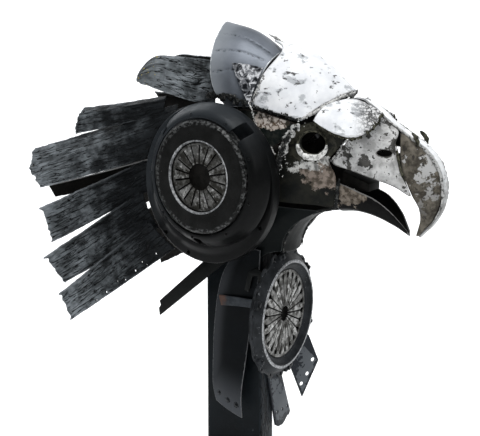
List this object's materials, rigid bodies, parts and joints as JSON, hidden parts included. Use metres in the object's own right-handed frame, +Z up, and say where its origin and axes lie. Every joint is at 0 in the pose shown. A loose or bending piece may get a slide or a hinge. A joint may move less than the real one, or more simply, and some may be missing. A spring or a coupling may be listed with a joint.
{
  "type": "scrap metal eagle sculpture",
  "caption": "Bust of an eagle welded from sheet steel, clutch covers and cracked plate strips, on a rectangular steel post with a flat base plate.",
  "frame": {"origin": "centre of the base plate's underside, where the sculpture stands on the floor", "axes": "+Z up the post; +X the way the beak points; +Y toward the eagle's left side"},
  "size_m": [0.971, 0.3672, 1.047],
  "materials": {
    "post_steel": "black painted steel section, satin, dusty and cracked on its front face",
    "strut_steel": "dark grey painted flat bar, matt",
    "drum_paint": "charcoal paint over cast and pressed steel, satin",
    "friction_iron": "worn brown-grey machined iron with a scuffed bright edge",
    "spring_steel": "mottled bare spring steel with dark stains",
    "clutch_paint": "worn grey paint, bright along the raised ring",
    "feather_steel": "blue-grey paint cracked like bark, with rusted torn ends",
    "slate_paint": "dark slate paint, satin, lighter toward the lower ends",
    "neck_paint": "near-black paint with brownish mottling",
    "hood_paint": "smooth blue-grey paint, satin",
    "crackle_paint": "pale paint with a net of black cracks",
    "white_paint": "chalky white paint with grey scrapes and bare flecks",
    "beak_paint": "pale grey paint flaked to charcoal and brown metal",
    "rust": "cream paint and rust with dark running lines",
    "weld_metal": "lumpy grey weld metal"
  },
  "bodies": {
    "root": {"base_plate": "post_steel", "post": "post_steel", "strut_right": "strut_steel", "chest_bracket_right": "strut_steel", "chest_bracket_left": "strut_steel", "chest_tab_right": "strut_steel", "ear_drum_right": "drum_paint", "ear_drum_left": "drum_paint", "ear_cover_right": "drum_paint", "ear_cover_left": "drum_paint", "ear_pressure_plate_right": "friction_iron", "ear_pressure_plate_left": "friction_iron", "chest_pressure_plate": "friction_iron", "ear_spring_right": "spring_steel", "ear_spring_left": "spring_steel", "chest_spring": "spring_steel", "chest_cover": "clutch_paint", "feather_1_right": "feather_steel", "feather_1_left": "feather_steel", "feather_2_right": "feather_steel", "feather_2_left": "feather_steel", "feather_3_right": "feather_steel", "feather_3_left": "feather_steel", "feather_4_right": "feather_steel", "feather_4_left": "feather_steel", "feather_5_right": "feather_steel", "feather_5_left": "feather_steel", "feather_6_right": "feather_steel", "feather_6_left": "feather_steel", "feather_7_right": "feather_steel", "feather_7_left": "feather_steel", "breast_blade_right": "slate_paint", "breast_blade_left": "slate_paint", "front_blade": "slate_paint", "flank_blade": "slate_paint", "neck_side_right": "neck_paint", "neck_side_left": "neck_paint", "throat_plate": "neck_paint", "cheek_right": "neck_paint", "cheek_left": "neck_paint", "mouth_block": "neck_paint", "hood": "hood_paint", "gusset_right": "crackle_paint", "gusset_left": "crackle_paint", "crown": "white_paint", "brow_right": "white_paint", "brow_left": "white_paint", "culmen": "white_paint", "beak_side_right": "beak_paint", "beak_side_left": "beak_paint", "beak_hook_right": "beak_paint", "beak_hook_left": "beak_paint", "lower_beak": "beak_paint", "temple_right": "rust", "temple_left": "rust", "weld_rib_right": "weld_metal", "weld_rib_left": "weld_metal", "eye_rim_right": "weld_metal", "eye_rim_left": "weld_metal"}
  },
  "joints": []
}
